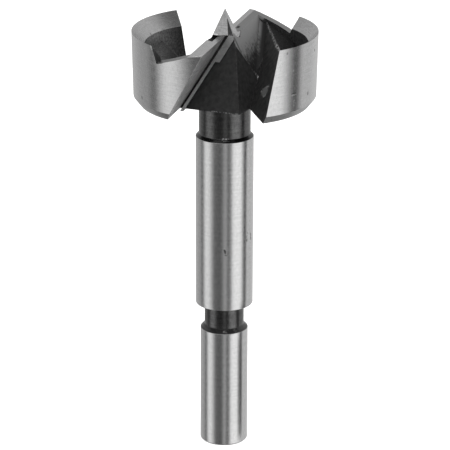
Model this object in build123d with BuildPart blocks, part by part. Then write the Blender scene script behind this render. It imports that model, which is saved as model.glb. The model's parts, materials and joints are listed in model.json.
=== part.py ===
"""Forstner bit, one forged and ground piece of tool steel.

Frame: millimetres, +Z from the shank's end up to the spur's tip, origin at the centre of the
shank's end face. The two cutting lips run along -Y and +Y. Half a turn about Z brings one side of
the head onto the other, apart from the faces that were ground one after the other, so the air of
each side is worked out for the lip at -Y and then turned.
"""

from math import cos, radians, sin, tan

from build123d import *
import os

os.makedirs("parts", exist_ok=True)

# Shank, from its end upwards
shank_diameter = 10.0
shank_length = 26.3
shank_end_chamfer = 0.3
groove_diameter = 8.3
groove_length = 4.9
collar_diameter = 12.0
collar_length = 36.6
neck_diameter = 10.7
neck_length = 7.25
step_chamfer = 0.75

# Head
cutter_diameter = 38.0
head_height = 15.05
head_taper = 1.25
underside_chamfer_width = 1.35
underside_chamfer_height = 1.7

# Cutting lips and the ground faces behind them. The two were ground one after the other, so a few
# sizes differ: the front lip runs along -Y, the back lip along +Y
front_lip_lead = 0.70
back_lip_lead = 0.05
front_lip_drop = 0.55
back_lip_drop = 0.25
front_flank_width = 7.0
back_flank_width = 9.1
front_flank_slope = 20.0
back_flank_slope = 18.2
front_land_heel = 2.4
back_land_heel = 1.0
front_notch_lean = 20.0
back_notch_lean = 26.0
rake_angle = 29.0
land_slope = 8.0

# Rim with its sharp top edge, and the pocket inside it. The front rim starts behind the front lip
front_rim_wall = 2.62
back_rim_wall = 2.15
bevel_angle = 47.0
pocket_floor_rise = 1.5
pocket_floor_slope = 26.0
pocket_floor_bearing = 11.0

# Chip gullet: each wall by the bearing of its outward side, its lean from upright
# and its reach from the axis at the head's underside
core_front_bearing = -95.8
core_front_lean = 24.3
core_front_reach = 8.0
core_side_bearing = -11.5
core_side_lean = 15.8
core_side_reach = 7.05
web_back_lean = 23.0
web_back_reach = 8.37
gullet_wall_bearing = -150.0
gullet_wall_lean = 33.0
gullet_wall_reach = -3.55
gullet_root_radius = 1.0
front_rim_end_lean = 9.2
back_rim_end_lean = 11.6
front_rim_end_reach = -3.49
back_rim_end_reach = -3.55

# Ground strip along the foot of the rake face, wider in its upper part
strip_groove = 0.5
strip_width = 0.6
strip_lean = 31.4
strip_stand = 1.9
upper_strip_width = 1.45
upper_strip_stand = 0.25
upper_strip_length = 5.2

# Centre spur, a four-sided point with a facet on the corner in front of each lip. A wheel with a
# round corner ground a shallow relief beside it into the back of each web, and the land of the front
# lip keeps a part of the recess milled at its foot
spur_height = 4.55
spur_side_angle = 20.8
spur_turn = -6.8
spur_root = 1.4
spur_tip_flat = 0.08
spur_facet_bearing = -29.3
spur_facet_lean = 19.4
spur_facet_reach = 1.956
relief_turn = -3.0
relief_shift = 1.7
relief_width = 5.2
relief_length = 6.75
recess_depth = 0.25
recess_inset = 0.8
recess_end = 6.7
recess_end_angle = 48.0

# Levels and sizes that follow
clear = 1.0
groove_level = shank_length
collar_level = groove_level + groove_length
neck_level = collar_level + collar_length
underside_level = neck_level + neck_length
rim_level = underside_level + head_height
tip_level = rim_level + spur_height
cutter_radius = cutter_diameter / 2
chamfer_level = underside_level + underside_chamfer_height
chamfer_radius = cutter_radius - (rim_level - chamfer_level) * tan(radians(head_taper))
underside_radius = chamfer_radius - underside_chamfer_width
bevel_drop = tan(radians(bevel_angle))
bevel_width = front_rim_wall + clear
beyond = 2 * cutter_diameter


def leaning_plane(bearing, lean, reach, level):
    """Plane whose Z axis points out at a bearing, tipped up by its lean, through a reach and level."""
    out_x = cos(radians(bearing))
    out_y = sin(radians(bearing))
    normal = (out_x * cos(radians(lean)), out_y * cos(radians(lean)), sin(radians(lean)))
    return Plane(origin=(reach * out_x, reach * out_y, level), x_dir=(-out_y, out_x, 0), z_dir=normal)


def lies_on(edge, plane):
    """Whether both ends of an edge lie on a plane."""
    return all(abs((edge.position_at(end) - plane.origin).dot(plane.z_dir)) < 0.001 for end in (0, 1))


strip_front = leaning_plane(core_front_bearing, strip_lean, core_front_reach + strip_stand, underside_level)
core_front = leaning_plane(core_front_bearing, core_front_lean, core_front_reach, underside_level)
core_side = leaning_plane(core_side_bearing, core_side_lean, core_side_reach, underside_level)
web_back = leaning_plane(0, web_back_lean, web_back_reach, underside_level)
gullet_wall = leaning_plane(gullet_wall_bearing, gullet_wall_lean, gullet_wall_reach, underside_level)
pocket_floor = leaning_plane(pocket_floor_bearing, 90 - pocket_floor_slope, 0, rim_level + pocket_floor_rise)
relief_face = leaning_plane(relief_turn, spur_side_angle, 0, tip_level)
near_facet = leaning_plane(spur_facet_bearing, spur_facet_lean, spur_facet_reach, rim_level)
far_facet = leaning_plane(spur_facet_bearing + 180, spur_facet_lean, spur_facet_reach, rim_level)

# Web and core that stay between the two gullets
with BuildPart() as web_and_core:
    with BuildSketch(Plane.XY.offset(underside_level - 2 * clear)):
        Rectangle(beyond, beyond)
    extrude(amount=head_height + 4 * clear)
    split(bisect_by=web_back, keep=Keep.BOTTOM)
    split(bisect_by=core_front, keep=Keep.BOTTOM)
    split(bisect_by=core_side, keep=Keep.BOTTOM)

# Air over the pocket inside each rim, whose floor slopes down towards the rim
pocket_air = []
for turn, rim_wall in ((180, front_rim_wall), (0, back_rim_wall)):
    with BuildPart() as pocket:
        with BuildSketch(Plane.XY.offset(underside_level)):
            Circle(cutter_radius - rim_wall)
        extrude(amount=head_height + clear)
        split(bisect_by=pocket_floor, keep=Keep.TOP)
        split(bisect_by=web_back, keep=Keep.TOP)
    pocket_air.append(pocket.part.rotate(Axis.Z, turn))

# Relief ground down beside the spur into the web, with the wheel's round corner as its foot
with BuildPart() as relief:
    with BuildSketch(relief_face):
        with Locations((relief_shift, relief_width / 2 - relief_length)):
            Circle(relief_width / 2)
            Rectangle(relief_width, relief_length, align=(Align.CENTER, Align.MIN))
    extrude(amount=beyond)

# Recess beside the spur's foot, a little below the front land's heel
front_heel_level = rim_level - front_lip_drop - (front_land_heel + front_lip_lead) * tan(radians(land_slope))
recess_run = front_land_heel + clear
with BuildPart() as recess:
    with BuildSketch(Plane.XY.offset(front_heel_level - recess_depth)):
        with BuildLine():
            Polyline(
                (-recess_inset, 0),
                (-recess_inset, -recess_end),
                (-recess_inset - recess_run, recess_run * tan(radians(recess_end_angle)) - recess_end),
                (-recess_inset - recess_run, 0),
                close=True,
            )
        make_face()
    extrude(amount=spur_height)

# Air that the cutters and wheels left on each side, worked out for the lip at -Y and then turned
far_rim_end = leaning_plane(gullet_wall_bearing, back_rim_end_lean, back_rim_end_reach, underside_level)
near_rim_end = leaning_plane(gullet_wall_bearing, front_rim_end_lean, front_rim_end_reach, underside_level)
front_lip = (0, front_lip_lead, front_lip_drop)
back_lip = (180, back_lip_lead, back_lip_drop)
front_flank = (front_land_heel, front_flank_width, front_flank_slope, front_notch_lean)
back_flank = (back_land_heel, back_flank_width, back_flank_slope, back_notch_lean)
front_side = (*front_lip, *front_flank, far_rim_end, back_rim_wall)
back_side = (*back_lip, *back_flank, near_rim_end, front_rim_wall)
side_air = []
spur_air = []
for side in (front_side, back_side):
    turn, lip_lead, lip_drop, land_heel, flank_width, flank_slope, notch_lean, rim_end, rim_wall = side
    lip_level = rim_level - lip_drop
    heel_level = lip_level - (land_heel + lip_lead) * tan(radians(land_slope))
    flank_end = land_heel + flank_width
    flank_end_level = heel_level - flank_width * tan(radians(flank_slope))
    notch_run = (rim_level + clear - flank_end_level) * tan(radians(notch_lean))
    rake_face = leaning_plane(0, -rake_angle, lip_lead, lip_level)
    notch_face = leaning_plane(180, -notch_lean, flank_end, flank_end_level)

    # Strip that stands in front of the core along the foot of the rake face
    with BuildPart() as strip:
        with BuildSketch(Plane.XY.offset(underside_level - 2 * clear)):
            Rectangle(beyond, beyond)
        extrude(amount=head_height)
        split(bisect_by=rake_face.offset(strip_groove), keep=Keep.TOP)
        split(bisect_by=rake_face.offset(strip_groove + strip_width), keep=Keep.BOTTOM)
        split(bisect_by=strip_front, keep=Keep.BOTTOM)
        split(bisect_by=web_back, keep=Keep.BOTTOM)

    # Wider part of the strip, up to the lip
    with BuildPart() as upper_strip:
        with BuildSketch(Plane.XY.offset(lip_level)):
            Rectangle(beyond, beyond)
        extrude(amount=-upper_strip_length)
        split(bisect_by=rake_face.offset(strip_groove), keep=Keep.TOP)
        split(bisect_by=rake_face.offset(strip_groove + upper_strip_width), keep=Keep.BOTTOM)
        split(bisect_by=core_front.offset(upper_strip_stand), keep=Keep.BOTTOM)
        split(bisect_by=web_back, keep=Keep.BOTTOM)

    # End of the far rim, which stands up over the gullet's sloping wall
    with BuildPart() as rim_stub:
        with BuildSketch(Plane.XY.offset(underside_level - 2 * clear)):
            Circle(beyond)
            Circle(cutter_radius - rim_wall, mode=Mode.SUBTRACT)
        extrude(amount=head_height + 4 * clear)
        split(bisect_by=rim_end, keep=Keep.BOTTOM)

    # Gullet, from the rake face round to the far sector's sloping wall
    with BuildPart() as gullet:
        with BuildSketch(Plane.XY.offset(underside_level - clear)):
            Rectangle(beyond, beyond)
        extrude(amount=head_height + 2 * clear)
        split(bisect_by=rake_face, keep=Keep.TOP)
        split(bisect_by=gullet_wall, keep=Keep.TOP)
        add(web_and_core.part, mode=Mode.SUBTRACT)
        root = gullet.edges().filter_by(lambda edge: lies_on(edge, web_back) and lies_on(edge, gullet_wall))
        fillet(root, radius=gullet_root_radius)
        add([strip.part, upper_strip.part], mode=Mode.SUBTRACT)
        add(rim_stub.part, mode=Mode.SUBTRACT)

    # Space over the land and the flank, up to the notch where the rim starts
    with BuildPart() as flank:
        with BuildSketch(Plane.XZ):
            with BuildLine():
                Polyline(
                    (lip_lead + beyond, lip_level + beyond * tan(radians(land_slope))),
                    (-land_heel, heel_level),
                    (-flank_end, flank_end_level),
                    (-flank_end - notch_run, rim_level + clear),
                    (-land_heel, rim_level + beyond),
                    close=True,
                )
            make_face()
        extrude(amount=beyond)

    # Space inside the rim's sharp edge
    with BuildPart() as bevel:
        with BuildSketch(Plane.XZ):
            with BuildLine():
                Polyline(
                    (cutter_radius + clear, rim_level + clear * bevel_drop),
                    (cutter_radius - bevel_width, rim_level - bevel_width * bevel_drop),
                    (cutter_radius - bevel_width, rim_level + clear * bevel_drop),
                    close=True,
                )
            make_face()
        revolve(axis=Axis.Z)
        split(bisect_by=notch_face, keep=Keep.TOP)

    # Space in front of the rake face, where the spur ends at the level of the lip
    with BuildPart() as lip_front:
        with BuildSketch(Plane.XY.offset(lip_level)):
            Rectangle(beyond, beyond, align=(Align.CENTER, Align.MAX))
        extrude(amount=-spur_height)
        split(bisect_by=rake_face, keep=Keep.TOP)

    side_air += [air.part.rotate(Axis.Z, turn) for air in (gullet, flank, bevel)]
    spur_air.append(lip_front.part.rotate(Axis.Z, turn))

# Four-sided spur, from its tip down into the core
with BuildPart() as spur:
    with BuildSketch(Plane.XY.offset(tip_level).rotated((0, 0, spur_turn))):
        Rectangle(spur_tip_flat, spur_tip_flat)
    extrude(amount=-spur_height - spur_root, taper=-spur_side_angle)
    split(bisect_by=near_facet, keep=Keep.BOTTOM)
    split(bisect_by=far_facet, keep=Keep.BOTTOM)
    add(spur_air, mode=Mode.SUBTRACT)

# Turned blank, less the air, with the spur on top
with BuildPart() as forstner_bit:
    with BuildSketch(Plane.XZ):
        with BuildLine():
            Polyline(
                (0, 0),
                (shank_diameter / 2 - shank_end_chamfer, 0),
                (shank_diameter / 2, shank_end_chamfer),
                (shank_diameter / 2, groove_level - step_chamfer),
                (groove_diameter / 2, groove_level - step_chamfer + (shank_diameter - groove_diameter) / 2),
                (groove_diameter / 2, collar_level),
                (collar_diameter / 2, collar_level),
                (collar_diameter / 2, neck_level),
                (neck_diameter / 2, neck_level + (collar_diameter - neck_diameter) / 2),
                (neck_diameter / 2, underside_level),
                (underside_radius, underside_level),
                (chamfer_radius, chamfer_level),
                (cutter_radius, rim_level),
                (0, rim_level),
                close=True,
            )
        make_face()
    revolve(axis=Axis.Z)
    add(side_air + pocket_air + [recess.part], mode=Mode.SUBTRACT)
    add(spur.part)
    add([relief.part, relief.part.rotate(Axis.Z, 180)], mode=Mode.SUBTRACT)

forstner_bit.part.label = "forstner_bit"
export_step(forstner_bit.part, "parts/forstner_bit.step")
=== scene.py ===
"""Forstner bit in its ground and black finishes, standing on a pale floor.

The head is a merged copy of the frame's solid with softened edges and one finish per kind of face.
The shank is a profile turned about the bit's axis. Lengths are in metres, +Z up, apart from the
marks on the finishes and the limits that tell the faces apart, which are in millimetres.
"""

import json
import math

import bmesh
import bpy
import numpy as np
from bpy.props import (
    FloatProperty,
    FloatVectorProperty,
    IntProperty,
    PointerProperty,
)
from bpy.types import Operator, Panel, PropertyGroup
from mathutils import Matrix, Vector


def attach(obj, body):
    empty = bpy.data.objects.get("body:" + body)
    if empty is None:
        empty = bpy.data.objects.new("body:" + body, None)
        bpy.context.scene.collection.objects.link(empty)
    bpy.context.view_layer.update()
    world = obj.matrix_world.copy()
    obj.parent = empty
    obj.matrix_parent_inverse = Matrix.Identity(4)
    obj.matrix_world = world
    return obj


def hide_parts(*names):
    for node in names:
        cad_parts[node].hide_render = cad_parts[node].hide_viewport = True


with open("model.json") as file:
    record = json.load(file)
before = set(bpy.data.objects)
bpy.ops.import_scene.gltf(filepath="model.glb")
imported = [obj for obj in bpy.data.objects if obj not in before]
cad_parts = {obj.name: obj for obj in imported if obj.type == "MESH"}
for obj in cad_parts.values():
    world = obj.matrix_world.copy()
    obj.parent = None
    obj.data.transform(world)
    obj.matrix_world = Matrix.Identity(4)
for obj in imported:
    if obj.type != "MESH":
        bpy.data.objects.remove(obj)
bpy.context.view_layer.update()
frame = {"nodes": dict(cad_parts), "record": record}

bl_info = {
    "name": "Forstner Bit",
    "version": (1, 0, 0),
    "blender": (4, 5, 0),
    "location": "View3D > Sidebar > Forstner Bit",
    "description": "Builds a forstner bit with its ground and black finishes, and a studio around it",
    "category": "Add Mesh",
}

NODE = "forstner_bit"
MM = 0.001

# Distances within which points are one, faces lie on a level or a plane, and edges are too short to keep
SAME_POINT = 0.002 * MM
TOUCH = 0.01 * MM
SHORT = 0.02 * MM
# Turn between two faces that are still one flat
SAME_FLAT = math.radians(0.6)

# Radii and levels of the turned part, read from the mounts in the frame's record
MOUNTS = {mount["name"]: mount for mount in frame["record"]["mounts"]}
SHANK_RADIUS, COLLAR_RADIUS = (MOUNTS[name]["dims"]["r_mm"] * MM for name in ("shank", "collar"))
HALF_COLLAR = MOUNTS["collar"]["dims"]["length_mm"] * MM / 2
COLLAR_BASE = MOUNTS["collar"]["pos_m"][2] - HALF_COLLAR
COLLAR_TOP = MOUNTS["collar"]["pos_m"][2] + HALF_COLLAR


class BitSizes(PropertyGroup):
    """Sizes of the bit's looks."""

    edge_radius: FloatProperty(
        name="Edge radius", description="Rounding of the head's edges", default=0.07 * MM, unit="LENGTH"
    )
    underside_level: FloatProperty(
        name="Underside", description="Height of the head's underside", default=75.05 * MM, unit="LENGTH"
    )
    rim_level: FloatProperty(
        name="Rim", description="Height of the rim's sharp edge", default=90.1 * MM, unit="LENGTH"
    )
    rim_radius: FloatProperty(
        name="Rim radius", description="Radius of the rim's sharp edge", default=19.0 * MM, unit="LENGTH"
    )
    head_taper: FloatProperty(
        name="Head taper", description="Lean of the head's outside", default=math.radians(1.25),
        subtype="ANGLE",
    )
    chamfer_lean: FloatProperty(
        name="Underside chamfer", description="Lean of the chamfer under the head",
        default=math.atan2(1.35, 1.7), subtype="ANGLE",
    )
    bevel_lean: FloatProperty(
        name="Rim bevel", description="Lean of the bevel inside the rim", default=math.radians(43.0),
        subtype="ANGLE",
    )
    facet_angle: FloatProperty(
        name="Facet angle", description="Angle that one face of the round surfaces spans",
        default=math.radians(3.0), subtype="ANGLE",
    )
    groove_radius: FloatProperty(
        name="Groove radius", description="Radius at the bottom of the groove", default=4.15 * MM,
        unit="LENGTH",
    )
    groove_length: FloatProperty(
        name="Groove length", description="Length of the groove", default=4.9 * MM, unit="LENGTH"
    )
    neck_radius: FloatProperty(
        name="Neck radius", description="Radius of the neck", default=5.35 * MM, unit="LENGTH"
    )
    step_chamfer: FloatProperty(
        name="Step chamfer", description="Height of the shank's upper chamfer", default=0.75 * MM,
        unit="LENGTH",
    )
    end_chamfer: FloatProperty(
        name="End chamfer", description="Chamfer of the shank's end", default=0.3 * MM, unit="LENGTH"
    )
    turned_round: FloatProperty(
        name="Turned rounding", description="Rounding of the turned edges", default=0.12 * MM, unit="LENGTH"
    )
    turned_sides: IntProperty(
        name="Turned sides", description="Faces around the shank", default=160, min=48, max=512
    )


FACTOR = {"min": 0, "max": 1, "subtype": "FACTOR"}


class BitFinish(PropertyGroup):
    """Colours and gloss of the bit's finishes."""

    bright_tone: FloatProperty(
        name="Ground steel", description="Brightness of the ground steel", default=0.60, **FACTOR
    )
    bright_roughness: FloatProperty(
        name="Ground roughness", description="Roughness of the ground steel", default=0.22, **FACTOR
    )
    black_tone: FloatProperty(
        name="Black oxide", description="Brightness of the black finish", default=0.042, **FACTOR
    )
    black_roughness: FloatProperty(
        name="Black roughness", description="Roughness of the black finish", default=0.42, **FACTOR
    )


class StudioSettings(PropertyGroup):
    """Camera, floor and lights."""

    view_azimuth: FloatProperty(
        name="View azimuth", description="Bearing of the camera round the bit",
        default=math.radians(16.0), subtype="ANGLE",
    )
    view_elevation: FloatProperty(
        name="View elevation", description="Height of the camera over the horizon",
        default=math.radians(19.51), subtype="ANGLE",
    )
    view_roll: FloatProperty(
        name="View roll", description="Turn of the camera about its line of sight",
        default=0.00305, subtype="ANGLE",
    )
    view_distance: FloatProperty(
        name="View distance", description="Distance from the camera to its target", default=0.5079,
        unit="LENGTH",
    )
    view_target: FloatVectorProperty(
        name="View target", description="Point in the middle of the picture", size=3,
        default=(0.00008, 0.00014, 0.0481), subtype="TRANSLATION",
    )
    lens: FloatProperty(name="Lens", description="Focal length in millimetres", default=194.9)
    floor_size: FloatProperty(
        name="Floor size", description="Width of the floor", default=4.0, unit="LENGTH"
    )


# Turned shank


def rounded_profile(corners, radius, steps):
    """Profile of (radius, height) points with each inner corner replaced by an arc.

    Corner p with unit directions a, b to its neighbours is cut back by t = r / tan(angle / 2), or less
    than half of the shorter side, and the arc runs from p + t a to p + t b as the blend
    (1-s)^2 (p + t a) + 2 s (1-s) p + s^2 (p + t b).
    """
    points = [corners[0]]
    share = np.linspace(0, 1, steps)[:, None]
    for before, corner, after in zip(corners[:-2], corners[1:-1], corners[2:]):
        lengths = np.linalg.norm([before - corner, after - corner], axis=1)
        a, b = (before - corner) / lengths[0], (after - corner) / lengths[1]
        half = np.arccos(np.clip(a @ b, -1, 1)) / 2
        reach = min(radius / math.tan(half), 0.45 * lengths.min())
        start, end = corner + reach * a, corner + reach * b
        points.extend((1 - share) ** 2 * start + 2 * share * (1 - share) * corner + share**2 * end)
    points.append(corners[-1])
    return np.array(points)


def refined(profile, longest):
    """The profile with each run longer than the given length divided evenly."""
    rows = [profile[:1]]
    for start, end in zip(profile[:-1], profile[1:]):
        count = max(1, int(np.ceil(np.linalg.norm(end - start) / longest)))
        rows.append(start + (end - start) * (np.arange(1, count + 1) / count)[:, None])
    return np.concatenate(rows)


def turned_grid(profile, sides):
    """Grid of points (r cos t, r sin t, z) for the profile's (r, z) and t from 0 to a full turn."""
    angle = np.linspace(0, 2 * np.pi, sides, endpoint=False)
    radius, height = profile[:, 0][:, None], profile[:, 1][:, None]
    ones = np.ones_like(angle)[None]
    return np.stack([radius * np.cos(angle), radius * np.sin(angle), height * ones], -1)


def closed_turned_mesh(name, grid):
    """Mesh of a grid that closes round each row, with a fan to a middle point at both ends."""
    rows, sides = grid.shape[:2]
    corner = np.arange(rows * sides).reshape(rows, sides)
    beside = np.roll(corner, -1, axis=1)
    quads = np.stack([corner[:-1], beside[:-1], beside[1:], corner[1:]], -1).reshape(-1, 4)
    bottom, top = rows * sides, rows * sides + 1
    foot = np.stack([beside[0], corner[0], np.full(sides, bottom)], -1)
    head = np.stack([corner[-1], beside[-1], np.full(sides, top)], -1)
    points = np.concatenate([grid.reshape(-1, 3), grid[0].mean(0)[None], grid[-1].mean(0)[None]])
    mesh = bpy.data.meshes.new(name)
    mesh.from_pydata(points.tolist(), [], quads.tolist() + foot.tolist() + head.tolist())
    mesh.update()
    return mesh


def grid_mesh(name, points):
    """Mesh of a grid of points, with a four-sided face between each point and its next ones."""
    corner = np.arange(points.shape[0] * points.shape[1]).reshape(points.shape[:2])
    quads = np.stack([corner[:-1, :-1], corner[1:, :-1], corner[1:, 1:], corner[:-1, 1:]], -1)
    mesh = bpy.data.meshes.new(name)
    mesh.from_pydata(points.reshape(-1, 3).tolist(), [], quads.reshape(-1, 4).tolist())
    return mesh


def linked_object(name, mesh):
    """New object of the mesh, in the scene."""
    piece = bpy.data.objects.new(name, mesh)
    bpy.context.scene.collection.objects.link(piece)
    return piece


# Faces of the head


def face_arrays(mesh):
    """Normals, centres and areas of the mesh's faces as arrays."""
    count = len(mesh.polygons)
    normals, centres, areas = np.zeros(count * 3), np.zeros(count * 3), np.zeros(count)
    mesh.polygons.foreach_get("normal", normals)
    mesh.polygons.foreach_get("center", centres)
    mesh.polygons.foreach_get("area", areas)
    return normals.reshape(-1, 3), centres.reshape(-1, 3), areas


def corner_arrays(mesh):
    """The mesh's points, and the index of the point and of the face of each face's corners."""
    points = np.zeros(len(mesh.vertices) * 3)
    mesh.vertices.foreach_get("co", points)
    point_of = np.zeros(len(mesh.loops), int)
    mesh.loops.foreach_get("vertex_index", point_of)
    counts = np.zeros(len(mesh.polygons), int)
    mesh.polygons.foreach_get("loop_total", counts)
    return points.reshape(-1, 3), point_of, np.repeat(np.arange(len(counts)), counts)


def unit_rows(vectors):
    """The vectors, each divided by its length."""
    return vectors / np.maximum(np.linalg.norm(vectors, axis=-1, keepdims=True), 1e-12)


def face_measures(normals, centres):
    """Measures of each face by name, which the limits below are for.

    Of its normal: "out" is the share that points away from the axis, "up" the share along the axis, and
    "across" and "along" are the sizes of the shares across and along the lips. Of its place, in
    millimetres: "radius" and "level" of its middle, and "reach", its plane's distance from the origin.
    """
    radius = np.hypot(centres[:, 0], centres[:, 1])
    return {
        "out": (normals[:, :2] * centres[:, :2]).sum(1) / np.maximum(radius, 1e-6),
        "up": normals[:, 2],
        "across": np.abs(normals[:, 0]),
        "along": np.abs(normals[:, 1]),
        "radius": radius / MM,
        "level": centres[:, 2] / MM,
        "reach": (normals * centres).sum(1) / MM,
    }


def within(measures, limits):
    """Whether each face has every one of the limited measures between its low and its high limit."""
    return np.all(
        [(low < measures[name]) & (measures[name] < high) for name, (low, high) in limits.items()], axis=0
    )


# Limits of the faces of the surfaces that are turned about the axis
ANY = math.inf
SURFACE_LIMITS = {
    "round": {"out": (0.97, ANY), "up": (-0.1, 0.1), "radius": (17, ANY)},
    "chamfer": {"out": (0.6, ANY), "up": (-ANY, -0.4), "radius": (16.4, ANY), "level": (0, 77)},
    "bevel": {"out": (-ANY, -0.6), "up": (0.60, 0.76), "radius": (16.5, ANY)},
    "pocket wall": {"out": (-ANY, -0.9), "up": (-0.02, 0.02), "radius": (14, 17.75)},
}
SURFACES = ["flat", *SURFACE_LIMITS, "root"]
TURNED_SURFACES = [SURFACES.index(name) for name in SURFACE_LIMITS]

# Valley at +X: the normals of the two flats that meet in it, the direction along it, and the direction
# across it, from the sloping wall's side to the web's
WEB_BACK = np.array([0.9205, 0.0, 0.3907])
SLOPING_WALL = np.array([-0.7263, -0.4193, 0.5446])
VALLEY = unit_rows(np.cross(WEB_BACK, SLOPING_WALL))
OUT_OF_VALLEY = unit_rows(SLOPING_WALL - WEB_BACK)

# Faces of the valley's root: the most that their normals lean along it, the cosine of the least angle
# between them and either flat's normal, and the least share that points up
ROOT_LEAN = 0.012
ROOT_CLEAR = 0.997
ROOT_UP = 0.42


def turned_to_one_side(vectors, centres):
    """The vectors of the side at -X turned half round the axis, so that both sides can be compared."""
    sign = np.where(centres[:, 0] < 0, -1.0, 1.0)[:, None]
    return vectors * np.concatenate([sign, sign, np.ones_like(sign)], axis=1)


def head_surfaces(normals, centres):
    """Index in SURFACES of the surface that each face belongs to: a flat, a turned one or the root."""
    measures = face_measures(normals, centres)
    surface = np.zeros(len(normals), int)
    for name, limits in SURFACE_LIMITS.items():
        surface[within(measures, limits)] = SURFACES.index(name)
    facing = turned_to_one_side(normals, centres)
    clear = (facing @ WEB_BACK < ROOT_CLEAR) & (facing @ SLOPING_WALL < ROOT_CLEAR)
    in_root = clear & (np.abs(facing @ VALLEY) < ROOT_LEAN) & (facing[:, 2] > ROOT_UP)
    surface[(surface == 0) & in_root] = SURFACES.index("root")
    return surface


def surface_normals(surface, flat_normals, points, sizes):
    """Exact normal at each point of the surface that it lies on.

    A cone about the axis has the outward direction times the cosine of its lean, plus the sine of
    the lean upwards. The bevel and the upright pocket wall face the axis.
    """
    normals = flat_normals.copy()
    angle = {
        "round": -sizes.head_taper, "chamfer": -sizes.chamfer_lean,
        "bevel": math.pi - sizes.bevel_lean, "pocket wall": math.pi,
    }
    away = unit_rows(points[:, :2])
    for name, lean in angle.items():
        here = surface == SURFACES.index(name)
        normals[here, :2] = away[here] * math.cos(lean)
        normals[here, 2] = math.sin(lean)
    return normals


# Finishes from the darkest to the brightest: a rounded edge takes the brightest one that it touches
HEAD_FINISHES = [
    "floor", "black", "web", "worn edge", "pocket", "spur side", "strip", "rake", "turned", "flank", "land",
    "spur", "bevel", "round",
]

# Limits of the flats' finishes, in one or two sets each. A later one is laid over those before it.
SPUR_FOOT = {"level": (88, ANY), "radius": (-ANY, 6)}
FINISH_LIMITS = {
    "web": [{"up": (0.37, 0.41), "across": (0.9, ANY)}, {"up": (0.03, 0.9), **SPUR_FOOT}],
    "strip": [
        {"up": (0.505, 0.535), "along": (0.83, ANY)},
        {"up": (0.40, 0.42), "along": (0.89, ANY), "reach": (38.3, ANY)},
    ],
    "rake": [{"up": (-0.53, -0.44), "across": (0.84, ANY), "along": (-ANY, 0.05), "reach": (-ANY, -42.6)}],
    "flank": [{"up": (0.9, ANY), "across": (0.3, 0.38)}],
    "land": [{"up": (0.985, ANY), "across": (0.10, 0.18), "level": (88.5, ANY)}],
    "spur": [{"up": (0.34, 0.37), **SPUR_FOOT}],
    # Faces of the spur's side, painted dark as painted shade
    "spur side": [
        {"up": (0.34, 0.37), "across": (0.9, ANY), "along": (0.09, ANY), **SPUR_FOOT},
        {"up": (0.32, 0.34), "along": (0.4, ANY), **SPUR_FOOT},
    ],
    "floor": [{"up": (0.88, ANY), "across": (0.40, 0.46), "along": (0.05, ANY)}],
}
SURFACE_FINISHES = {
    "root": "web", "chamfer": "turned", "bevel": "bevel", "round": "round", "pocket wall": "pocket",
}


def head_finishes(normals, centres, surface):
    """Index in HEAD_FINISHES of each face's finish, by its limits or by the surface that it lies on."""
    measures = face_measures(normals, centres)
    finish = np.full(len(normals), HEAD_FINISHES.index("black"))
    for name, choices in FINISH_LIMITS.items():
        for limits in choices:
            finish[within(measures, limits)] = HEAD_FINISHES.index(name)
    for kind, name in SURFACE_FINISHES.items():
        finish[surface == SURFACES.index(kind)] = HEAD_FINISHES.index(name)
    return finish


def merged_head(source, underside):
    """Closed copy of the source's faces at and over the underside, with each flat as one face."""
    shape = bmesh.new()
    shape.from_mesh(source)
    bmesh.ops.remove_doubles(shape, verts=shape.verts, dist=SAME_POINT)
    below = [face for face in shape.faces if face.calc_center_median().z < underside - TOUCH]
    bmesh.ops.delete(shape, geom=below, context="FACES")
    bmesh.ops.holes_fill(shape, edges=[edge for edge in shape.edges if edge.is_boundary], sides=0)
    bmesh.ops.dissolve_limit(shape, angle_limit=SAME_FLAT, verts=shape.verts, edges=shape.edges)
    bmesh.ops.dissolve_degenerate(shape, dist=SHORT, edges=shape.edges)
    return shape


def cut_round_faces(shape, sizes):
    """Cuts the turned faces by upright planes through the axis, so that each spans a small angle."""
    for turn in np.arange(0, math.pi, sizes.facet_angle):
        shape.faces.ensure_lookup_table()
        normals = np.array([face.normal for face in shape.faces])
        centres = np.array([face.calc_center_median() for face in shape.faces])
        chosen = np.nonzero(np.isin(head_surfaces(normals, centres), TURNED_SURFACES))[0]
        faces = [shape.faces[index] for index in chosen]
        edges = list({edge for face in faces for edge in face.edges})
        corners = list({corner for face in faces for corner in face.verts})
        across = (-math.sin(turn), math.cos(turn), 0)
        bmesh.ops.bisect_plane(
            shape, geom=faces + edges + corners, dist=TOUCH, plane_co=(0, 0, 0), plane_no=across
        )


def true_round(mesh, sizes):
    """Moves the corners of the round faces out onto their true circles.

    A corner of the outer cone goes to radius R - (rim - z) tan(taper), and one of the chamfer on the
    underside goes to the median radius of those corners. Corners that a flat shares stay where they are,
    apart from the underside's.
    """
    normals, centres, _ = face_arrays(mesh)
    points, point_of, face_of = corner_arrays(mesh)
    on = np.zeros((len(points), len(SURFACES)), bool)
    on[point_of, head_surfaces(normals, centres)[face_of]] = True
    level_flat = np.abs(points[:, 2] - sizes.underside_level) < SHORT
    free = ~on[:, 0] | level_flat
    radius = np.hypot(points[:, 0], points[:, 1])
    target = radius.copy()
    outer = on[:, SURFACES.index("round")] & free
    target[outer] = sizes.rim_radius - (sizes.rim_level - points[outer, 2]) * math.tan(sizes.head_taper)
    foot = on[:, SURFACES.index("chamfer")] & level_flat
    target[foot] = np.median(radius[foot])
    points[:, :2] *= (target / np.maximum(radius, 1e-9))[:, None]
    mesh.vertices.foreach_set("co", points.ravel())
    mesh.update()


# Edges that turn more than the first angle are rounded. Those that turn more than the second, or lie
# out of the levels, are keen and get only a share of the rounding.
ROUNDED_TURN = math.radians(20)
KEEN_TURN = math.radians(100)
KEEN_LEVELS = (76.9 * MM, 91.5 * MM)
KEEN_SHARE = 0.3
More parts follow.
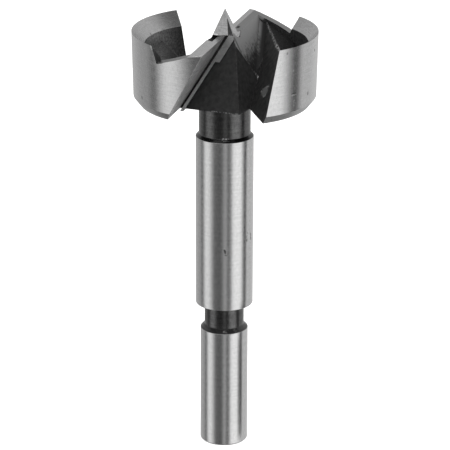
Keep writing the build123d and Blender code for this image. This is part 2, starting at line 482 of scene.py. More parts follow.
# Width of a sliver of a face, a needle-sharp corner's angle, and the heel of a land: the least share of
# both normals that points up, and the most that points along the lips
SLIVER_WIDTH = 0.12 * MM
NEEDLE_ANGLE = math.radians(25)
HEEL_UP, HEEL_ALONG = 0.38, 0.01


def mark_edges(mesh):
    """Gives a weight to the edges that get rounded: those between faces that turn enough.

    Cutting edges, the spur's point and the underside's rim are rounded less. Edges between two parts of
    one round surface, those of slivers and the heel of a land stay as they are, and so does the shorter
    edge at each needle-sharp corner of a face.
    """
    shape = bmesh.new()
    shape.from_mesh(mesh)
    weights = shape.edges.layers.float.new("bevel_weight_edge")
    slivers = {
        face for face in shape.faces
        if face.calc_area() < SLIVER_WIDTH * max(edge.calc_length() for edge in face.edges)
    }
    for edge in shape.edges:
        one, other = edge.link_faces
        same_round = one.material_index == other.material_index > 0
        turn = edge.calc_face_angle(0)
        middle = (edge.verts[0].co + edge.verts[1].co) / 2
        keen = turn > KEEN_TURN or not KEEN_LEVELS[0] < middle.z < KEEN_LEVELS[1]
        up, along = min(one.normal.z, other.normal.z), abs(one.normal.y) + abs(other.normal.y)
        left = same_round or (up > HEEL_UP and along < HEEL_ALONG) or slivers.intersection(edge.link_faces)
        if turn > ROUNDED_TURN and not left:
            edge[weights] = KEEN_SHARE if keen else 1.0
    for face in shape.faces:
        for loop in face.loops:
            sides = (loop.edge, loop.link_loop_prev.edge)
            if loop.calc_angle() < NEEDLE_ANGLE and all(edge[weights] for edge in sides):
                min(sides, key=lambda edge: edge.calc_length())[weights] = 0
    shape.to_mesh(mesh)
    shape.free()


def edge_finishes(mesh, finish, is_edge):
    """Finish of the rounded edges: the brightest of the faces that they touch, worn if all are black."""
    points, point_of, face_of = corner_arrays(mesh)
    main = ~is_edge[face_of]
    best = np.full(len(points), HEAD_FINISHES.index("worn edge"))
    np.maximum.at(best, point_of[main], finish[face_of][main])
    touched = np.full(len(finish), HEAD_FINISHES.index("worn edge"))
    np.maximum.at(touched, face_of[~main], best[point_of[~main]])
    return np.where(is_edge, touched, finish)


def finished_normals(mesh, surface, is_edge, sizes):
    """Normals at the corners of the finished faces.

    A corner of a main face has its surface's exact normal there, and one of the valley's rounded root
    has the mean of the root faces that meet at it. A corner of a rounded edge has the mean of the main
    faces' normals that meet at its point, or of the edge faces' where none does.
    """
    normals, _, areas = face_arrays(mesh)
    points, point_of, face_of = corner_arrays(mesh)
    exact = surface_normals(surface[face_of], normals[face_of], points[point_of], sizes)
    edge = is_edge[face_of]
    root = (surface[face_of] == SURFACES.index("root")) & ~edge
    blend = np.zeros_like(points)
    np.add.at(blend, point_of[root], normals[face_of][root])
    exact[root] = unit_rows(blend)[point_of[root]]
    main_sum, edge_sum = np.zeros_like(points), np.zeros_like(points)
    np.add.at(main_sum, point_of[~edge], exact[~edge])
    np.add.at(edge_sum, point_of[edge], (normals * areas[:, None])[face_of][edge])
    on_main = np.zeros(len(points), bool)
    on_main[point_of[~edge]] = True
    means = unit_rows(np.where(on_main[:, None], main_sum, edge_sum))
    return np.where(edge[:, None], means[point_of], exact)


# Materials


class Nodes:
    """Nodes of a material or of the world, with a short call for each kind that is used."""

    def __init__(self, tree):
        self.tree = tree

    def fill(self, node, inputs):
        """Links each of the node's inputs to the value if that is a socket, or else sets it."""
        for name, value in inputs.items():
            if isinstance(value, bpy.types.NodeSocket):
                self.tree.links.new(value, node.inputs[name])
            else:
                node.inputs[name].default_value = value

    def node(self, kind, inputs, **settings):
        """New node of the kind with its settings and inputs."""
        node = self.tree.nodes.new("ShaderNode" + kind)
        for name, value in settings.items():
            setattr(node, name, value)
        self.fill(node, inputs)
        return node

    def place(self):
        """Object coordinates."""
        return self.node("TexCoord", {}).outputs["Object"]

    def one_side_place(self):
        """Object coordinates, with the side at -X turned half round the axis onto the side at +X."""
        parts = self.node("SeparateXYZ", {"Vector": self.place()}).outputs
        side = self.math("SIGN", parts["X"], 0.0)
        turned = {name: self.math("MULTIPLY", parts[name], side) for name in "XY"}
        return self.node("CombineXYZ", {**turned, "Z": parts["Z"]}).outputs[0]

    def noise(self, scale, stretch=(1, 1, 1), detail=3.0):
        """Noise on Object coordinates, drawn out along the axes with a small stretch value."""
        stretched = self.node("Mapping", {"Vector": self.place(), "Scale": stretch}).outputs["Vector"]
        inputs = {"Vector": stretched, "Scale": scale, "Detail": detail}
        return self.node("TexNoise", inputs).outputs["Fac"]

    def ramp(self, source, stops):
        """Grey that runs through the (place, brightness) stops."""
        node = self.node("ValToRGB", {"Fac": source})
        while len(node.color_ramp.elements) < len(stops):
            node.color_ramp.elements.new(1.0)
        for element, (place, tone) in zip(node.color_ramp.elements, stops):
            element.position = place
            element.color = (tone, tone, tone, 1)
        return node.outputs["Color"]

    def bump(self, height, distance):
        """Normal of a relief whose height runs over the distance."""
        return self.node("Bump", {"Height": height, "Distance": distance}).outputs["Normal"]

    def share(self, value, low, high):
        """Nought below the low value, one above the high one, with a smooth rise between them."""
        inputs = {"Value": value, "From Min": low, "From Max": high}
        return self.node("MapRange", inputs, interpolation_type="SMOOTHSTEP").outputs["Result"]

    def mixed(self, share, *ends):
        """Grey or colour that goes from the first end to the second with the share."""
        first, second = ((end, end, end, 1) if isinstance(end, float) else end for end in ends)
        return self.node("Mix", {0: share, 6: first, 7: second}, data_type="RGBA").outputs[2]

    def mixed_shader(self, share, first, second):
        return self.node("MixShader", {0: share, 1: first, 2: second}).outputs[0]

    def math(self, operation, first, second):
        return self.node("Math", {0: first, 1: second}, operation=operation).outputs[0]

    def vector(self, operation, first, second):
        """Result of the operation on two vectors, a number for the operations that give one."""
        node = self.node("VectorMath", {0: first, 1: second}, operation=operation)
        return node.outputs["Value" if operation in {"DOT_PRODUCT", "DISTANCE"} else "Vector"]

    def scaled(self, vector, scale):
        return self.node("VectorMath", {0: vector, "Scale": scale}, operation="SCALE").outputs["Vector"]

    def near_line(self, place, start, end, width):
        """Share that is one by the line between two points in millimetres, and nought past a width.

        The nearest point is start + t (end - start) with t = (p - start).(end - start) / |end - start|^2
        kept between nought and one.
        """
        first, run = Vector(start) * MM, (Vector(end) - Vector(start)) * MM
        away = self.vector("SUBTRACT", place, first)
        along = self.vector("DOT_PRODUCT", away, run / max(run.length_squared, 1e-12))
        kept = self.node("Clamp", {"Value": along}).outputs[0]
        distance = self.vector("DISTANCE", away, self.scaled(run, kept))
        return self.math("SUBTRACT", 1.0, self.share(distance, 0.4 * width * MM, width * MM))

    def with_marks(self, colour, marks):
        """The colour with marks over it, wear as well as painted light and shade. Fine noise breaks those
        flagged as broken.
        """
        if not marks:
            return colour
        place = self.place()
        patchy = self.share(self.noise(2600), 0.42, 0.56)
        for start, end, width, tone, broken in marks:
            share = self.near_line(place, start, end, width)
            if broken:
                share = self.math("MULTIPLY", share, patchy)
            colour = self.mixed(share, colour, tone)
        return colour


def new_material(name):
    """New material, its nodes and its shader."""
    material = bpy.data.materials.new(name)
    material.use_nodes = True
    return material, Nodes(material.node_tree), material.node_tree.nodes["Principled BSDF"]


# Part of the ground metal's texture that is fine grit, the rest being lines
GRIT_SHARE = 0.45


def ground_material(name, tone, roughness, stretch, streak=0.12, marks=()):
    """Ground metal: fine lines along the way it was ground and fine grit, in tone, gloss and relief."""
    material, nodes, shader = new_material(name)
    coarse = nodes.math("MULTIPLY", nodes.noise(1.0, stretch, 4.0), 1 - GRIT_SHARE)
    grit = nodes.math("MULTIPLY", nodes.noise(2400, (1, 1, 0.6), 4.0), GRIT_SHARE)
    lines = nodes.math("ADD", coarse, grit)
    colour = nodes.ramp(lines, [(0.36, tone * (1 - streak)), (0.64, min(1, tone * (1 + streak)))])
    nodes.fill(shader, {
        "Base Color": nodes.with_marks(colour, marks),
        "Roughness": nodes.ramp(lines, [(0.3, roughness * 0.85), (0.7, roughness * 1.2)]),
        "Normal": nodes.bump(lines, 0.004 * MM),
        "Metallic": 1.0,
    })
    return material


def black_material(name, tone, roughness, relief, scale, depth=0.3, marks=(), painted_light=None):
    """Black oxide over forged or milled steel: mottled tone and gloss over soft relief.

    Painted light can make one end lighter, where light falls on it: its last argument is (direction,
    start, end, tone) along the direction in millimetres, lightest at the start.
    """
    material, nodes, shader = new_material(name)
    mottle = nodes.noise(scale, detail=5.0)
    colour = nodes.ramp(mottle, [(0.34, tone * (1 - depth)), (0.66, tone * (1 + depth))])
    if painted_light is not None:
        direction, start, end, light = painted_light
        pale = nodes.ramp(mottle, [(0.34, light * (1 - depth)), (0.66, light * (1 + depth))])
        reach = nodes.vector("DOT_PRODUCT", nodes.place(), direction)
        colour = nodes.mixed(nodes.share(reach, start * MM, end * MM), pale, colour)
    nodes.fill(shader, {
        "Base Color": nodes.with_marks(colour, marks),
        "Roughness": nodes.ramp(mottle, [(0.3, roughness * 1.2), (0.7, roughness * 0.85)]),
        "Normal": nodes.bump(mottle, relief),
        "Metallic": 0.5,
        "Specular IOR Level": 0.0,
    })
    return material


# The web's back in millimetres: levels between which painted light comes in over its black oxide, how
# far that border wanders, and distances from the valley where the painted light starts and where it gets
# brighter; nearer the valley it fades out, as painted shade in the crease
WEB_LIT_LEVELS = (82.6, 87.0)
WEB_WANDER = 7
WEB_LIT_START = (0.3, 1.1)
WEB_BRIGHT_START = (0.9, 1.9)


def web_material(name, lit_tone, black, roughness, marks=()):
    """Back of the web in mottled black oxide, with painted grey light over its upper part that fades out
    lower down and, as painted shade, towards the valley.
    """
    material, nodes, shader = new_material(name)
    place = nodes.one_side_place()
    mottle = nodes.noise(1400, detail=5.0)
    wander = nodes.math("MULTIPLY", nodes.math("SUBTRACT", mottle, 0.5), WEB_WANDER * MM)
    level = nodes.math("ADD", nodes.vector("DOT_PRODUCT", place, (0, 0, 1)), wander)
    from_valley = nodes.vector("DOT_PRODUCT", place, OUT_OF_VALLEY)
    high, clear, bright = (
        nodes.share(measure, low * MM, top * MM)
        for measure, (low, top) in (
            (level, WEB_LIT_LEVELS), (from_valley, WEB_LIT_START), (from_valley, WEB_BRIGHT_START)
        )
    )
    # Painted light: grey over the black oxide, dimmed towards the valley as painted shade
    metal = nodes.mixed(bright, lit_tone * 0.7, lit_tone)
    colour = nodes.mixed(nodes.math("MULTIPLY", high, clear), black, metal)
    nodes.fill(shader, {
        "Base Color": nodes.with_marks(colour, marks),
        "Roughness": nodes.mixed(mottle, roughness * 0.9, roughness * 1.15),
        "Normal": nodes.bump(mottle, 0.008 * MM),
        "Metallic": 0.7,
        "Specular IOR Level": 0.0,
    })
    return material


# Marks on each finish, each along a line in millimetres: its start, its end, how far it spreads to each
# side, its brightness, and whether fine noise breaks it. Some are wear, chips and dings; others are
# painted highlights, glints and light, or painted shade in recesses and beside edges, as noted below.
BLACK_WEAR_HIGHLIGHTS_AND_SHADE = [
    # Painted highlight along the edge between the web's back and the core's front
    ((2.78, -2.44, 88.6), (6.29, 2.55, 79.97), 0.4, 0.16, True),
    # Chipped, worn ridge between the right pocket and the gullet, with a painted highlight along it
    ((4.6, 15.8, 87.9), (9.2, 5.7, 86.2), 0.4, 0.22, True),
    ((9.2, 5.7, 86.2), (10.6, 3.0, 86.0), 0.45, 0.40, True),
    # Painted pool of light on the gullet's sloping wall under the rim, with its lit rims
    ((8.65, -3.0, 78.84), (10.3, -4.1, 80.2), 0.6, 0.34, True),
    ((9.0, -3.5, 78.85), (9.85, -5.4, 78.5), 0.6, 0.30, True),
    ((10.1, -4.3, 79.8), (9.9, -5.4, 78.6), 0.55, 0.30, True),
    ((9.3, -3.8, 79.0), (9.8, -4.6, 79.1), 1.3, 0.15, False),
    # Painted glint where three faces meet, and a painted highlight down the edge below it
    ((6.28, 2.6, 79.96), (6.3, 2.5, 79.9), 0.3, 0.45, False),
    ((6.4, 2.2, 79.7), (6.7, 0.4, 78.2), 0.25, 0.12, True),
    # Painted highlight along the lower edge of the head's underside at the front
    ((-0.4, -7.96, 75.13), (5.27, -8.45, 75.15), 0.18, 0.15, True),
    # Painted shade over the recess under the spur's foot
    ((-1.2, -0.9, 88.86), (-2.3, -3.7, 88.86), 2.4, 0.004, False),
]
POCKET_MARKS = [
    ((2.6, 16.65, 89.2), (3.3, 16.5, 88.9), 0.8, 0.30, False),
]
SPUR_PAINTED_SHADE_AND_HIGHLIGHT = [
    # Painted shade at the foot of the spur's front face, over the recess
    ((-2.6, -1.9, 89.1), (-1.1, -2.06, 89.1), 0.42, 0.004, False),
    ((-2.5, -1.8, 89.27), (-0.9, -1.98, 89.22), 0.22, 0.004, False),
    # Painted highlight along the foot of the spur's front face
    ((-2.4, -1.72, 89.58), (-1.1, -1.87, 89.5), 0.2, 1.0, False),
]
RAKE_MARKS = [
    ((-4.9, -16.9, 79.0), (-7.3, -14.5, 75.2), 1.6, 0.85, True),
]
LAND_MARKS_AND_PAINTED_SHADE = [
    ((0.1, -19.0, 89.5), (1.0, -16.0, 89.6), 0.5, 0.9, True),
    ((-1.2, -18.0, 89.3), (0.6, -19.0, 89.5), 0.35, 0.95, True),
    # Painted shade where the land meets the recess by the spur's foot
    ((-0.75, -3.3, 89.35), (-0.5, -2.5, 89.39), 0.35, 0.004, False),
]
ROUND_MARKS_AND_PAINTED_GLINT = [
    ((18.93, -0.73, 87.6), (18.93, -0.73, 87.5), 0.35, 0.2, False),
    ((18.39, -3.7, 79.4), (18.39, -3.7, 79.2), 0.4, 0.25, False),
    ((15.83, -10.46, 89.2), (15.8, -10.5, 89.1), 0.3, 0.3, False),
    ((-13.62, -12.88, 78.4), (-13.6, -12.9, 78.2), 0.35, 0.25, False),
    ((16.69, -8.85, 85.3), (16.69, -8.85, 85.2), 0.3, 0.9, False),
    ((16.5, -8.95, 80.2), (16.95, -8.1, 80.2), 0.22, 1.0, False),
    ((16.5, -8.95, 80.5), (16.95, -8.1, 80.5), 0.22, 0.2, True),
    ((16.76, -8.4, 79.0), (16.76, -8.4, 77.6), 0.3, 1.0, True),
    ((15.62, -10.61, 84.8), (15.62, -10.61, 84.7), 0.2, 0.7, False),
    # Painted glint on the rim's corner at the notch, at -X
    ((-10.8, -15.6, 89.9), (-10.5, -15.85, 89.4), 0.3, 1.0, False),
]
SHANK_MARKS = [
    ((5.53, -2.32, 47.6), (5.5, -2.4, 46.0), 0.35, 0.15, True),
    ((5.9, -1.0, 47.6), (5.95, -0.8, 45.2), 0.3, 0.2, True),
    ((1.7, -5.75, 44.6), (1.95, -5.68, 43.7), 0.35, 0.15, True),
]
TURNED_PAINTED_HIGHLIGHTS = [
    # Painted highlights at the front of the dark chamfers over the collar and over the groove
    ((1.2, -5.35, 68.4), (2.1, -5.0, 68.3), 0.5, 0.7, True),
    ((1.0, -4.5, 26.0), (1.7, -4.3, 26.0), 0.45, 0.7, True),
]
WEB_PAINTED_SHADE = [
    # Painted shade on the web beside its edge with the core's front
    ((2.5, -1.6, 88.8), (3.8, -1.2, 86.0), 0.55, 0.14, False),
]
FLANK_PAINTED_PIT_SHADE = [
    # Painted shade standing in for a small pit, as a dark spot
    ((1.38, 4.3, 89.57), (1.44, 5.4, 89.55), 0.38, 0.004, False),
]

# Painted light at the left end of the left pocket, where light falls on its wall and floor: the direction
# across the picture, where the lighter part starts and ends along it in millimetres, and its brightness
TO_THE_RIGHT = (0.961, 0.276, 0.0)
POCKET_PAINTED_LIGHT = (TO_THE_RIGHT, -15.6, -8.5, 0.17)
FLOOR_PAINTED_LIGHT = (TO_THE_RIGHT, -14.5, -9.5, 0.10)


class FORSTNER_OT_head(Operator):
    """Make the head: a merged copy of the frame's solid with softened edges and its finishes"""

    bl_idname = "forstner.head"
    bl_label = "Make Head"

    def execute(self, context):
        sizes, finish = context.scene.bit_sizes, context.scene.bit_finish
        shape = merged_head(frame["nodes"][NODE].data, sizes.underside_level)
        cut_round_faces(shape, sizes)
        mesh = bpy.data.meshes.new("cutter_head")
        shape.to_mesh(mesh)
        shape.free()
        mesh.materials.clear()
        true_round(mesh, sizes)
        bright, black = finish.bright_tone, finish.black_tone
        grain, matt = finish.bright_roughness, finish.black_roughness
        finishes = {
            # The pocket's floor and wall carry painted light at the left pocket's end
            "floor": black_material(
                "black_floor", black * 0.4, 0.6, 0.02 * MM, 2400, 0.4, painted_light=FLOOR_PAINTED_LIGHT
            ),
            # Its marks and those of the worn edge hold wear, painted highlights and painted shade
            "black": black_material("black_forged", black * 0.9, matt, 0.02 * MM, 1100, 0.2, BLACK_WEAR_HIGHLIGHTS_AND_SHADE),
            "pocket": black_material(
                "black_pocket", black * 1.1, matt, 0.05 * MM, 2400, 0.4, POCKET_MARKS, POCKET_PAINTED_LIGHT
            ),
            # The web's back: black oxide with painted light and painted shade
            "web": web_material("milled_web", bright * 0.52, black * 0.9, 0.5, WEB_PAINTED_SHADE),
            "worn edge": black_material("worn_edge", black * 1.4, matt, 0.01 * MM, 2200, 0.4, BLACK_WEAR_HIGHLIGHTS_AND_SHADE),
            # The spur's side faces: ground steel painted dark, as painted shade
            "spur side": ground_material("dark_spur_side", bright * 0.2, 0.35, (500, 500, 7000)),
            "strip": ground_material("ground_strip", bright * 0.98, 0.55, (400, 9000, 400)),
            "rake": ground_material("ground_rake", bright * 0.95, 0.65, (6000, 300, 3500), 0.3, RAKE_MARKS),
            "turned": ground_material("turned_chamfer", bright * 0.65, 0.3, (300, 300, 9000), 0.25),
            "flank": ground_material(
                "ground_flank", bright * 0.62, 0.35, (9000, 500, 500), marks=FLANK_PAINTED_PIT_SHADE
            ),
            "land": ground_material("ground_land", bright, grain, (9000, 500, 500), marks=LAND_MARKS_AND_PAINTED_SHADE),
            "spur": ground_material("ground_spur", bright, grain, (500, 500, 7000), 0.2, SPUR_PAINTED_SHADE_AND_HIGHLIGHT),
            "bevel": ground_material("ground_bevel", bright, grain, (600, 600, 9000)),
            "round": ground_material(
                "ground_round", bright * 0.92, grain, (300, 300, 9000), 0.10, ROUND_MARKS_AND_PAINTED_GLINT
            ),
        }
        for key in HEAD_FINISHES:
            mesh.materials.append(finishes[key])
        surface = head_surfaces(*face_arrays(mesh)[:2])
        mesh.polygons.foreach_set("material_index", surface.astype(np.int32))
        mark_edges(mesh)
        rough_piece = linked_object("cutter_head_rough", mesh)
        rounding = rough_piece.modifiers.new("edges", "BEVEL")
        rounding.width = sizes.edge_radius
        rounding.segments = 2
        rounding.limit_method = "WEIGHT"
        rounding.use_clamp_overlap = False
        rounding.material = len(SURFACES)
        evaluated = rough_piece.evaluated_get(context.evaluated_depsgraph_get())
        rounded = bpy.data.meshes.new_from_object(evaluated)
        bpy.data.objects.remove(rough_piece)
        kind = np.zeros(len(rounded.polygons), np.int32)
        rounded.polygons.foreach_get("material_index", kind)
        is_edge = kind == len(SURFACES)
        surface = np.where(is_edge, 0, kind)
        chosen = head_finishes(*face_arrays(rounded)[:2], surface)
        chosen = edge_finishes(rounded, chosen, is_edge)
        rounded.polygons.foreach_set("material_index", chosen.astype(np.int32))
        rounded.shade_smooth()
        rounded.normals_split_custom_set(finished_normals(rounded, surface, is_edge, sizes).tolist())
        piece = linked_object("cutter_head", rounded)
        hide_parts(NODE)
        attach(piece, "root")
        return {"FINISHED"}


# The turned profile starts and ends this far from the axis, goes this far up into the head, and has no
# run longer than the third. The black starts this far over the edges under the groove and the neck.
END_RADIUS = 0.2 * MM
INTO_HEAD = 0.3 * MM
LONGEST_RUN = 2.0 * MM
BLACK_START, NECK_BLACK_START = 0.1 * MM, 0.3 * MM


class FORSTNER_OT_shank(Operator):
    """Turn the shank: end, groove, long collar and neck about the bit's axis"""

    bl_idname = "forstner.shank"
    bl_label = "Turn Shank"

    def execute(self, context):
        sizes, finish = context.scene.bit_sizes, context.scene.bit_finish
        groove_start = COLLAR_BASE - sizes.groove_length
        step_base = groove_start - sizes.step_chamfer
        corners = [
            (END_RADIUS, 0),
            (SHANK_RADIUS - sizes.end_chamfer, 0),
            (SHANK_RADIUS, sizes.end_chamfer),
            (SHANK_RADIUS, step_base),
            (sizes.groove_radius, step_base + SHANK_RADIUS - sizes.groove_radius),
            (sizes.groove_radius, COLLAR_BASE),
            (COLLAR_RADIUS, COLLAR_BASE),
            (COLLAR_RADIUS, COLLAR_TOP),
            (sizes.neck_radius, COLLAR_TOP + COLLAR_RADIUS - sizes.neck_radius),
            (sizes.neck_radius, sizes.underside_level + INTO_HEAD),
            (END_RADIUS, sizes.underside_level + INTO_HEAD),
        ]
        profile = rounded_profile(np.array(corners), sizes.turned_round, 5)
        grid = turned_grid(refined(profile, LONGEST_RUN), sizes.turned_sides)
        mesh = closed_turned_mesh("shank", grid)
        bright, grain = finish.bright_tone, finish.bright_roughness
        ground = ground_material("ground_shank", bright, grain, (120, 120, 14000), 0.10, SHANK_MARKS)
        black = ground_material("black_turned", bright * 0.18, grain, (120, 120, 9000), 0.35, TURNED_PAINTED_HIGHLIGHTS)
        mesh.materials.append(ground)
        mesh.materials.append(black)
        level = face_arrays(mesh)[1][:, 2]
        in_groove = (level > step_base + BLACK_START) & (level < COLLAR_BASE + TOUCH)
        in_neck = level > COLLAR_TOP + NECK_BLACK_START
        mesh.polygons.foreach_set("material_index", (in_groove | in_neck).astype(np.int32))
        mesh.shade_smooth()
        mesh.set_sharp_from_angle(angle=math.radians(50))
        piece = linked_object("shank", mesh)
        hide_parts(NODE)
        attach(piece, "root")
        return {"FINISHED"}


# Studio


def world_by_bearing(world, camera_azimuth):
    """White for the camera. Metal sees soft bands by bearing, and everything else an even grey."""
    world.use_nodes = True
    world.node_tree.nodes.clear()
    nodes = Nodes(world.node_tree)
    sight = nodes.node("TexCoord", {}).outputs["Generated"]
    turn = {"Vector": sight, "Angle": math.radians(90) - camera_azimuth}
    from_camera = nodes.node("VectorRotate", turn, rotation_type="Z_AXIS").outputs["Vector"]
    parts = nodes.node("SeparateXYZ", {"Vector": from_camera}).outputs
    bearing = {"Value": nodes.math("ARCTAN2", parts["Y"], parts["X"]), "From Min": -math.pi}
    turns = nodes.node("MapRange", {**bearing, "From Max": math.pi}).outputs["Result"]
    level, sky = (
        nodes.ramp(turns, [((angle + 180) / 360, light / BAND_STRENGTH) for angle, light in bands])
        for bands in (BANDS, SKY_BANDS)
    )
    seen = nodes.mixed(nodes.share(parts["Z"], *SKY_START), level, sky)
    ceiling = nodes.mixed(nodes.share(parts["Z"], *CEILING_START), 1.0, CEILING_SHARE)
    ground = nodes.mixed(nodes.share(parts["Z"], *GROUND_END), GROUND_SHARE, 1.0)
    strength = nodes.math("MULTIPLY", nodes.math("MULTIPLY", ceiling, ground), BAND_STRENGTH)
    metal = nodes.node("Background", {"Color": seen, "Strength": strength}).outputs[0]
    even = nodes.node("Background", {"Color": (0.7, 0.7, 0.7, 1)}).outputs[0]
    white = nodes.node("Background", {"Color": (1, 1, 1, 1)}).outputs[0]
    ray = nodes.node("LightPath", {}).outputs
    by_metal = nodes.mixed_shader(ray["Is Glossy Ray"], even, metal)
    nodes.node("OutputWorld", {"Surface": nodes.mixed_shader(ray["Is Camera Ray"], by_metal, white)})


# Brightness that metal sees by bearing from the camera's side, in degrees, positive to the right:
# level with the bit, and over it
BAND_STRENGTH = 1.6
BANDS = [
    (-180, 0.60), (-146, 0.56), (-125, 0.46), (-111, 0.44), (-103, 0.18), (-96, 0.18), (-88, 0.72),
    (-79, 1.12), (-66, 1.05), (-57, 0.75), (-49, 0.40), (-41, 0.16), (-27, 0.15), (-18, 0.12),
    (-10, 0.16), (-2, 0.42), (5, 0.56), (12, 0.22), (19, 0.13), (27, 0.42), (34, 1.15), (44, 1.25),
    (60, 1.28), (72, 1.22), (84, 1.10), (98, 0.80), (112, 0.74), (130, 0.66), (146, 0.74), (180, 0.60),
]
SKY_BANDS = [
    (-180, 0.50), (-140, 0.46), (-100, 0.40), (-60, 0.50), (-45, 0.58), (0, 0.50), (60, 0.50),
    (100, 0.45), (134, 0.59), (160, 0.45), (180, 0.50),
]
# Sine of the height over the horizon where the sky's bands take over, where the darker ceiling starts
# and where the darker ground ends, and the share of the bands' brightness that both have
SKY_START = (-0.14, 0.0)
CEILING_START = (0.55, 0.75)
GROUND_END = (-0.75, -0.55)
CEILING_SHARE = 0.3
GROUND_SHARE = 0.5

# Dark flag beside the bit: how far to the right of the axis and nearer to the camera, its width, and the
# levels of its lower and upper ends
FLAG_PLACE = (68.0 * MM, 9.5 * MM)
FLAG_WIDTH = 36 * MM
FLAG_LEVELS = (-30 * MM, 110 * MM)

# Soft lamps: place, width and height, and power in watts
LAMPS = {
    "lamp_above": ((0.25, -0.2, 0.9), (0.9, 0.9), 9),
    "lamp_left": ((-0.8, -0.3, 0.5), (0.6, 0.9), 4),
}


def floor_material():
    """Pale floor: white to the camera apart from the bit's shadow, and out of the metal's sight."""
    material, nodes, shader = new_material("pale_floor")
    material.node_tree.nodes.remove(shader)
    tone = nodes.ramp(nodes.noise(40, detail=2.0), [(0.4, 0.60), (0.6, 0.63)])
    pale = nodes.node("BsdfDiffuse", {"Color": tone}).outputs[0]
    lift = nodes.node("Emission", {"Strength": 0.62}).outputs[0]
    both = nodes.node("AddShader", {0: pale, 1: lift}).outputs[0]
    clear = nodes.node("BsdfTransparent", {}).outputs[0]
    ray = nodes.node("LightPath", {}).outputs
    seen = nodes.mixed_shader(ray["Is Camera Ray"], pale, both)
    seen = nodes.mixed_shader(ray["Is Glossy Ray"], seen, clear)
    nodes.fill(material.node_tree.nodes["Material Output"], {"Surface": seen})
    return material


def floor_grid(size, cells):
    """Flat square grid: x and y run over the size, z is zero."""
    side = np.linspace(-size / 2, size / 2, cells + 1)
    x, y = np.meshgrid(side, side, indexing="ij")
    return grid_mesh("floor", np.stack([x, y, np.zeros_like(x)], -1))


def soft_lamp(name, place, aim, size, power):
    """Rectangular lamp that faces the aim and that metal doesn't mirror."""
    lamp = bpy.data.lights.new(name, "AREA")
    lamp.shape = "RECTANGLE"
    lamp.size, lamp.size_y = size
    lamp.energy = power
    lamp_object = bpy.data.objects.new(name, lamp)
    bpy.context.scene.collection.objects.link(lamp_object)
    lamp_object.location = place
    lamp_object.rotation_euler = (Vector(aim) - Vector(place)).to_track_quat("-Z", "Y").to_euler()
    lamp_object.visible_glossy = False
    return lamp_object


def dark_flag(bearing_frame, place, width, low, high):
    """Dark upright strip that only the metal's reflections see, with its face to the bit.

    Its cloth is darkest a third of the way across from its far side and gets paler to both sides.
    Its points are middle + side * s + up * z with s over the width and z from low to high.
    """
    right, near = bearing_frame
    middle = right * place[0] + near * place[1]
    side = middle.cross(Vector((0, 0, 1))).normalized()
    s, z = np.meshgrid(np.linspace(-width / 2, width / 2, 5), np.linspace(low, high, 9), indexing="ij")
    points = np.array(middle) + s[..., None] * np.array(side) + z[..., None] * np.array([0, 0, 1.0])
    mesh = grid_mesh("dark_flag", points)
    flag = linked_object("dark_flag", mesh)
    material, nodes, shader = new_material("dark_cloth")
    across = nodes.vector("DOT_PRODUCT", nodes.place(), side / width)
    weave = nodes.math("MULTIPLY", nodes.noise(900, detail=2.0), 0.04)
    shade = nodes.math("ADD", nodes.math("ADD", across, weave), 0.48)
    cloth = nodes.ramp(shade, [(0.0, 0.7), (0.25, 0.06), (0.45, 0.06), (1.0, 1.0)])
    nodes.fill(shader, {"Base Color": cloth, "Roughness": 1.0, "Specular IOR Level": 0.0})
    mesh.materials.append(material)
    flag.visible_camera = flag.visible_diffuse = flag.visible_shadow = flag.visible_transmission = False
    return flag


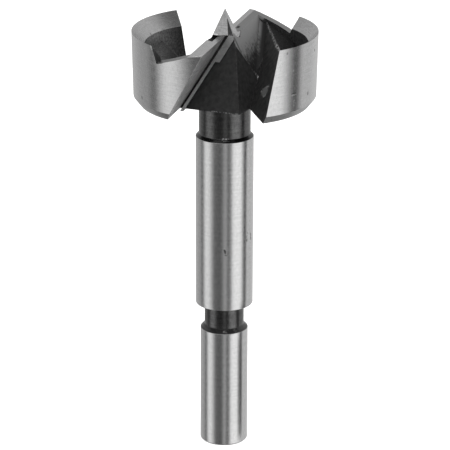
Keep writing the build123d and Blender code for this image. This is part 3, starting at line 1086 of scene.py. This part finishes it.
class FORSTNER_OT_studio(Operator):
    """Set up the pale floor, the soft lights, the world and the camera"""

    bl_idname = "forstner.studio"
    bl_label = "Set Up Studio"

    def execute(self, context):
        studio = context.scene.studio_settings
        floor = linked_object("floor", floor_grid(studio.floor_size, 8))
        floor.data.materials.append(floor_material())
        azimuth, elevation, roll = studio.view_azimuth, studio.view_elevation, studio.view_roll
        to_right = Vector((math.cos(azimuth), math.sin(azimuth), 0))
        to_camera = Vector((math.sin(azimuth), -math.cos(azimuth), 0))
        dark_flag((to_right, to_camera), FLAG_PLACE, FLAG_WIDTH, *FLAG_LEVELS)
        target = Vector(studio.view_target)
        for name, (place, size, power) in LAMPS.items():
            soft_lamp(name, place, target, size, power)
        world = bpy.data.worlds.new("studio")
        context.scene.world = world
        world_by_bearing(world, azimuth)
        forward = -math.cos(elevation) * to_camera - math.sin(elevation) * Vector((0, 0, 1))
        level_up = to_right.cross(forward)
        right = math.cos(roll) * to_right + math.sin(roll) * level_up
        up = math.cos(roll) * level_up - math.sin(roll) * to_right
        camera = bpy.data.cameras.new("camera")
        camera.lens = studio.lens
        camera.sensor_width = 36
        camera.clip_start = 0.01
        camera.clip_end = 20
        eye = bpy.data.objects.new("camera", camera)
        context.scene.collection.objects.link(eye)
        axes = Matrix((right, up, -forward)).transposed().to_4x4()
        eye.matrix_world = Matrix.Translation(target - studio.view_distance * forward) @ axes
        context.scene.camera = eye
        context.scene.view_settings.view_transform = "Standard"
        return {"FINISHED"}


class FORSTNER_PT_panel(Panel):
    """Steps that build the bit and its studio"""

    bl_idname = "FORSTNER_PT_panel"
    bl_label = "Forstner Bit"
    bl_space_type = "VIEW_3D"
    bl_region_type = "UI"
    bl_category = "Forstner Bit"

    def draw(self, context):
        layout = self.layout
        for group in (context.scene.bit_sizes, context.scene.bit_finish, context.scene.studio_settings):
            box = layout.box()
            for name in group.__annotations__:
                box.prop(group, name)
        for step in STEPS:
            layout.operator(step.bl_idname)


STEPS = (FORSTNER_OT_head, FORSTNER_OT_shank, FORSTNER_OT_studio)
GROUPS = {"bit_sizes": BitSizes, "bit_finish": BitFinish, "studio_settings": StudioSettings}


def register():
    for entry in (*GROUPS.values(), *STEPS, FORSTNER_PT_panel):
        bpy.utils.register_class(entry)
    for name, group in GROUPS.items():
        setattr(bpy.types.Scene, name, PointerProperty(type=group))


def unregister():
    for name in GROUPS:
        delattr(bpy.types.Scene, name)
    for entry in reversed((*GROUPS.values(), *STEPS, FORSTNER_PT_panel)):
        bpy.utils.unregister_class(entry)


def main():
    register()
    bpy.ops.forstner.head()
    bpy.ops.forstner.shank()
    bpy.ops.forstner.studio()
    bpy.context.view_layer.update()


if __name__ == "__main__":
    main()
